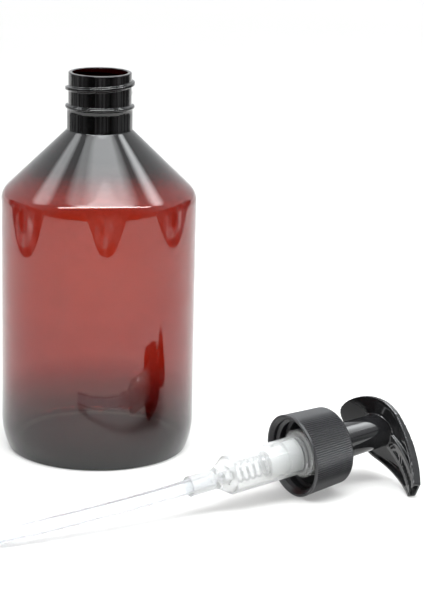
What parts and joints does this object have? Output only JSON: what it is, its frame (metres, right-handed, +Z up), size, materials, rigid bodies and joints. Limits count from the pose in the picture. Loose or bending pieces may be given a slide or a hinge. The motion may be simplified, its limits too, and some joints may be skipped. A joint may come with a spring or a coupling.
{
  "type": "pump oil bottle",
  "caption": "Amber round bottle with a conical shoulder and threaded neck, its black lotion pump with a ribbed screw closure and dip tube laid beside it.",
  "frame": {"origin": "centre of the ring the bottle stands on, on the table plane", "axes": "+Z up along the bottle's axis out of its neck; the pump lies to the bottle's right (+X) and front (-Y)"},
  "size_m": [0.1672, 0.1606, 0.1527],
  "materials": {
    "amber_plastic": "gloss",
    "black_satin": "satin",
    "black_gloss": "gloss",
    "white_liner": "matte",
    "milky_plastic": "satin",
    "natural_plastic": "satin",
    "clear_tube": "satin",
    "steel": "polished"
  },
  "bodies": {
    "bottle": {"bottle": "amber_plastic"},
    "pump": {"housing": "milky_plastic", "guide_ring": "black_satin", "gasket": "white_liner", "dip_tube": "clear_tube", "spring": "steel"},
    "closure": {"closure": "black_satin"},
    "stem": {"stem": "black_satin", "piston_seat": "natural_plastic"},
    "head": {"head": "black_gloss"},
    "piston": {"piston": "natural_plastic"},
    "ball": {"inlet_ball": "steel"}
  },
  "joints": [
    {"name": "pump_lift", "type": "slide", "parent": "bottle", "child": "pump", "axis": [0, 0, 1], "range_m": [0, 0.2]},
    {"name": "closure_spin", "type": "hinge", "parent": "pump", "child": "closure", "pos_m": [0.08735, -0.05546, 0.01738], "axis": [0.8601, 0.5026, 0.0872], "continuous": true},
    {"name": "actuator_press", "type": "slide", "parent": "pump", "child": "stem", "axis": [-0.8601, -0.5026, -0.0872], "range_m": [0, 0.0125], "stiffness_N_per_m": 900, "springref_m": -0.008, "deforming": ["spring"]},
    {"name": "head_turn", "type": "hinge", "parent": "stem", "child": "head", "pos_m": [0.09595, -0.05043, 0.01825], "axis": [0.8601, 0.5026, 0.0872], "continuous": true},
    {"name": "piston_slip", "type": "slide", "parent": "stem", "child": "piston", "axis": [0.8601, 0.5026, 0.0872], "range_m": [0, 0.0012]},
    {"name": "ball_lift", "type": "slide", "parent": "pump", "child": "ball", "axis": [0.8601, 0.5026, 0.0872], "range_m": [0, 0.0015]}
  ]
}
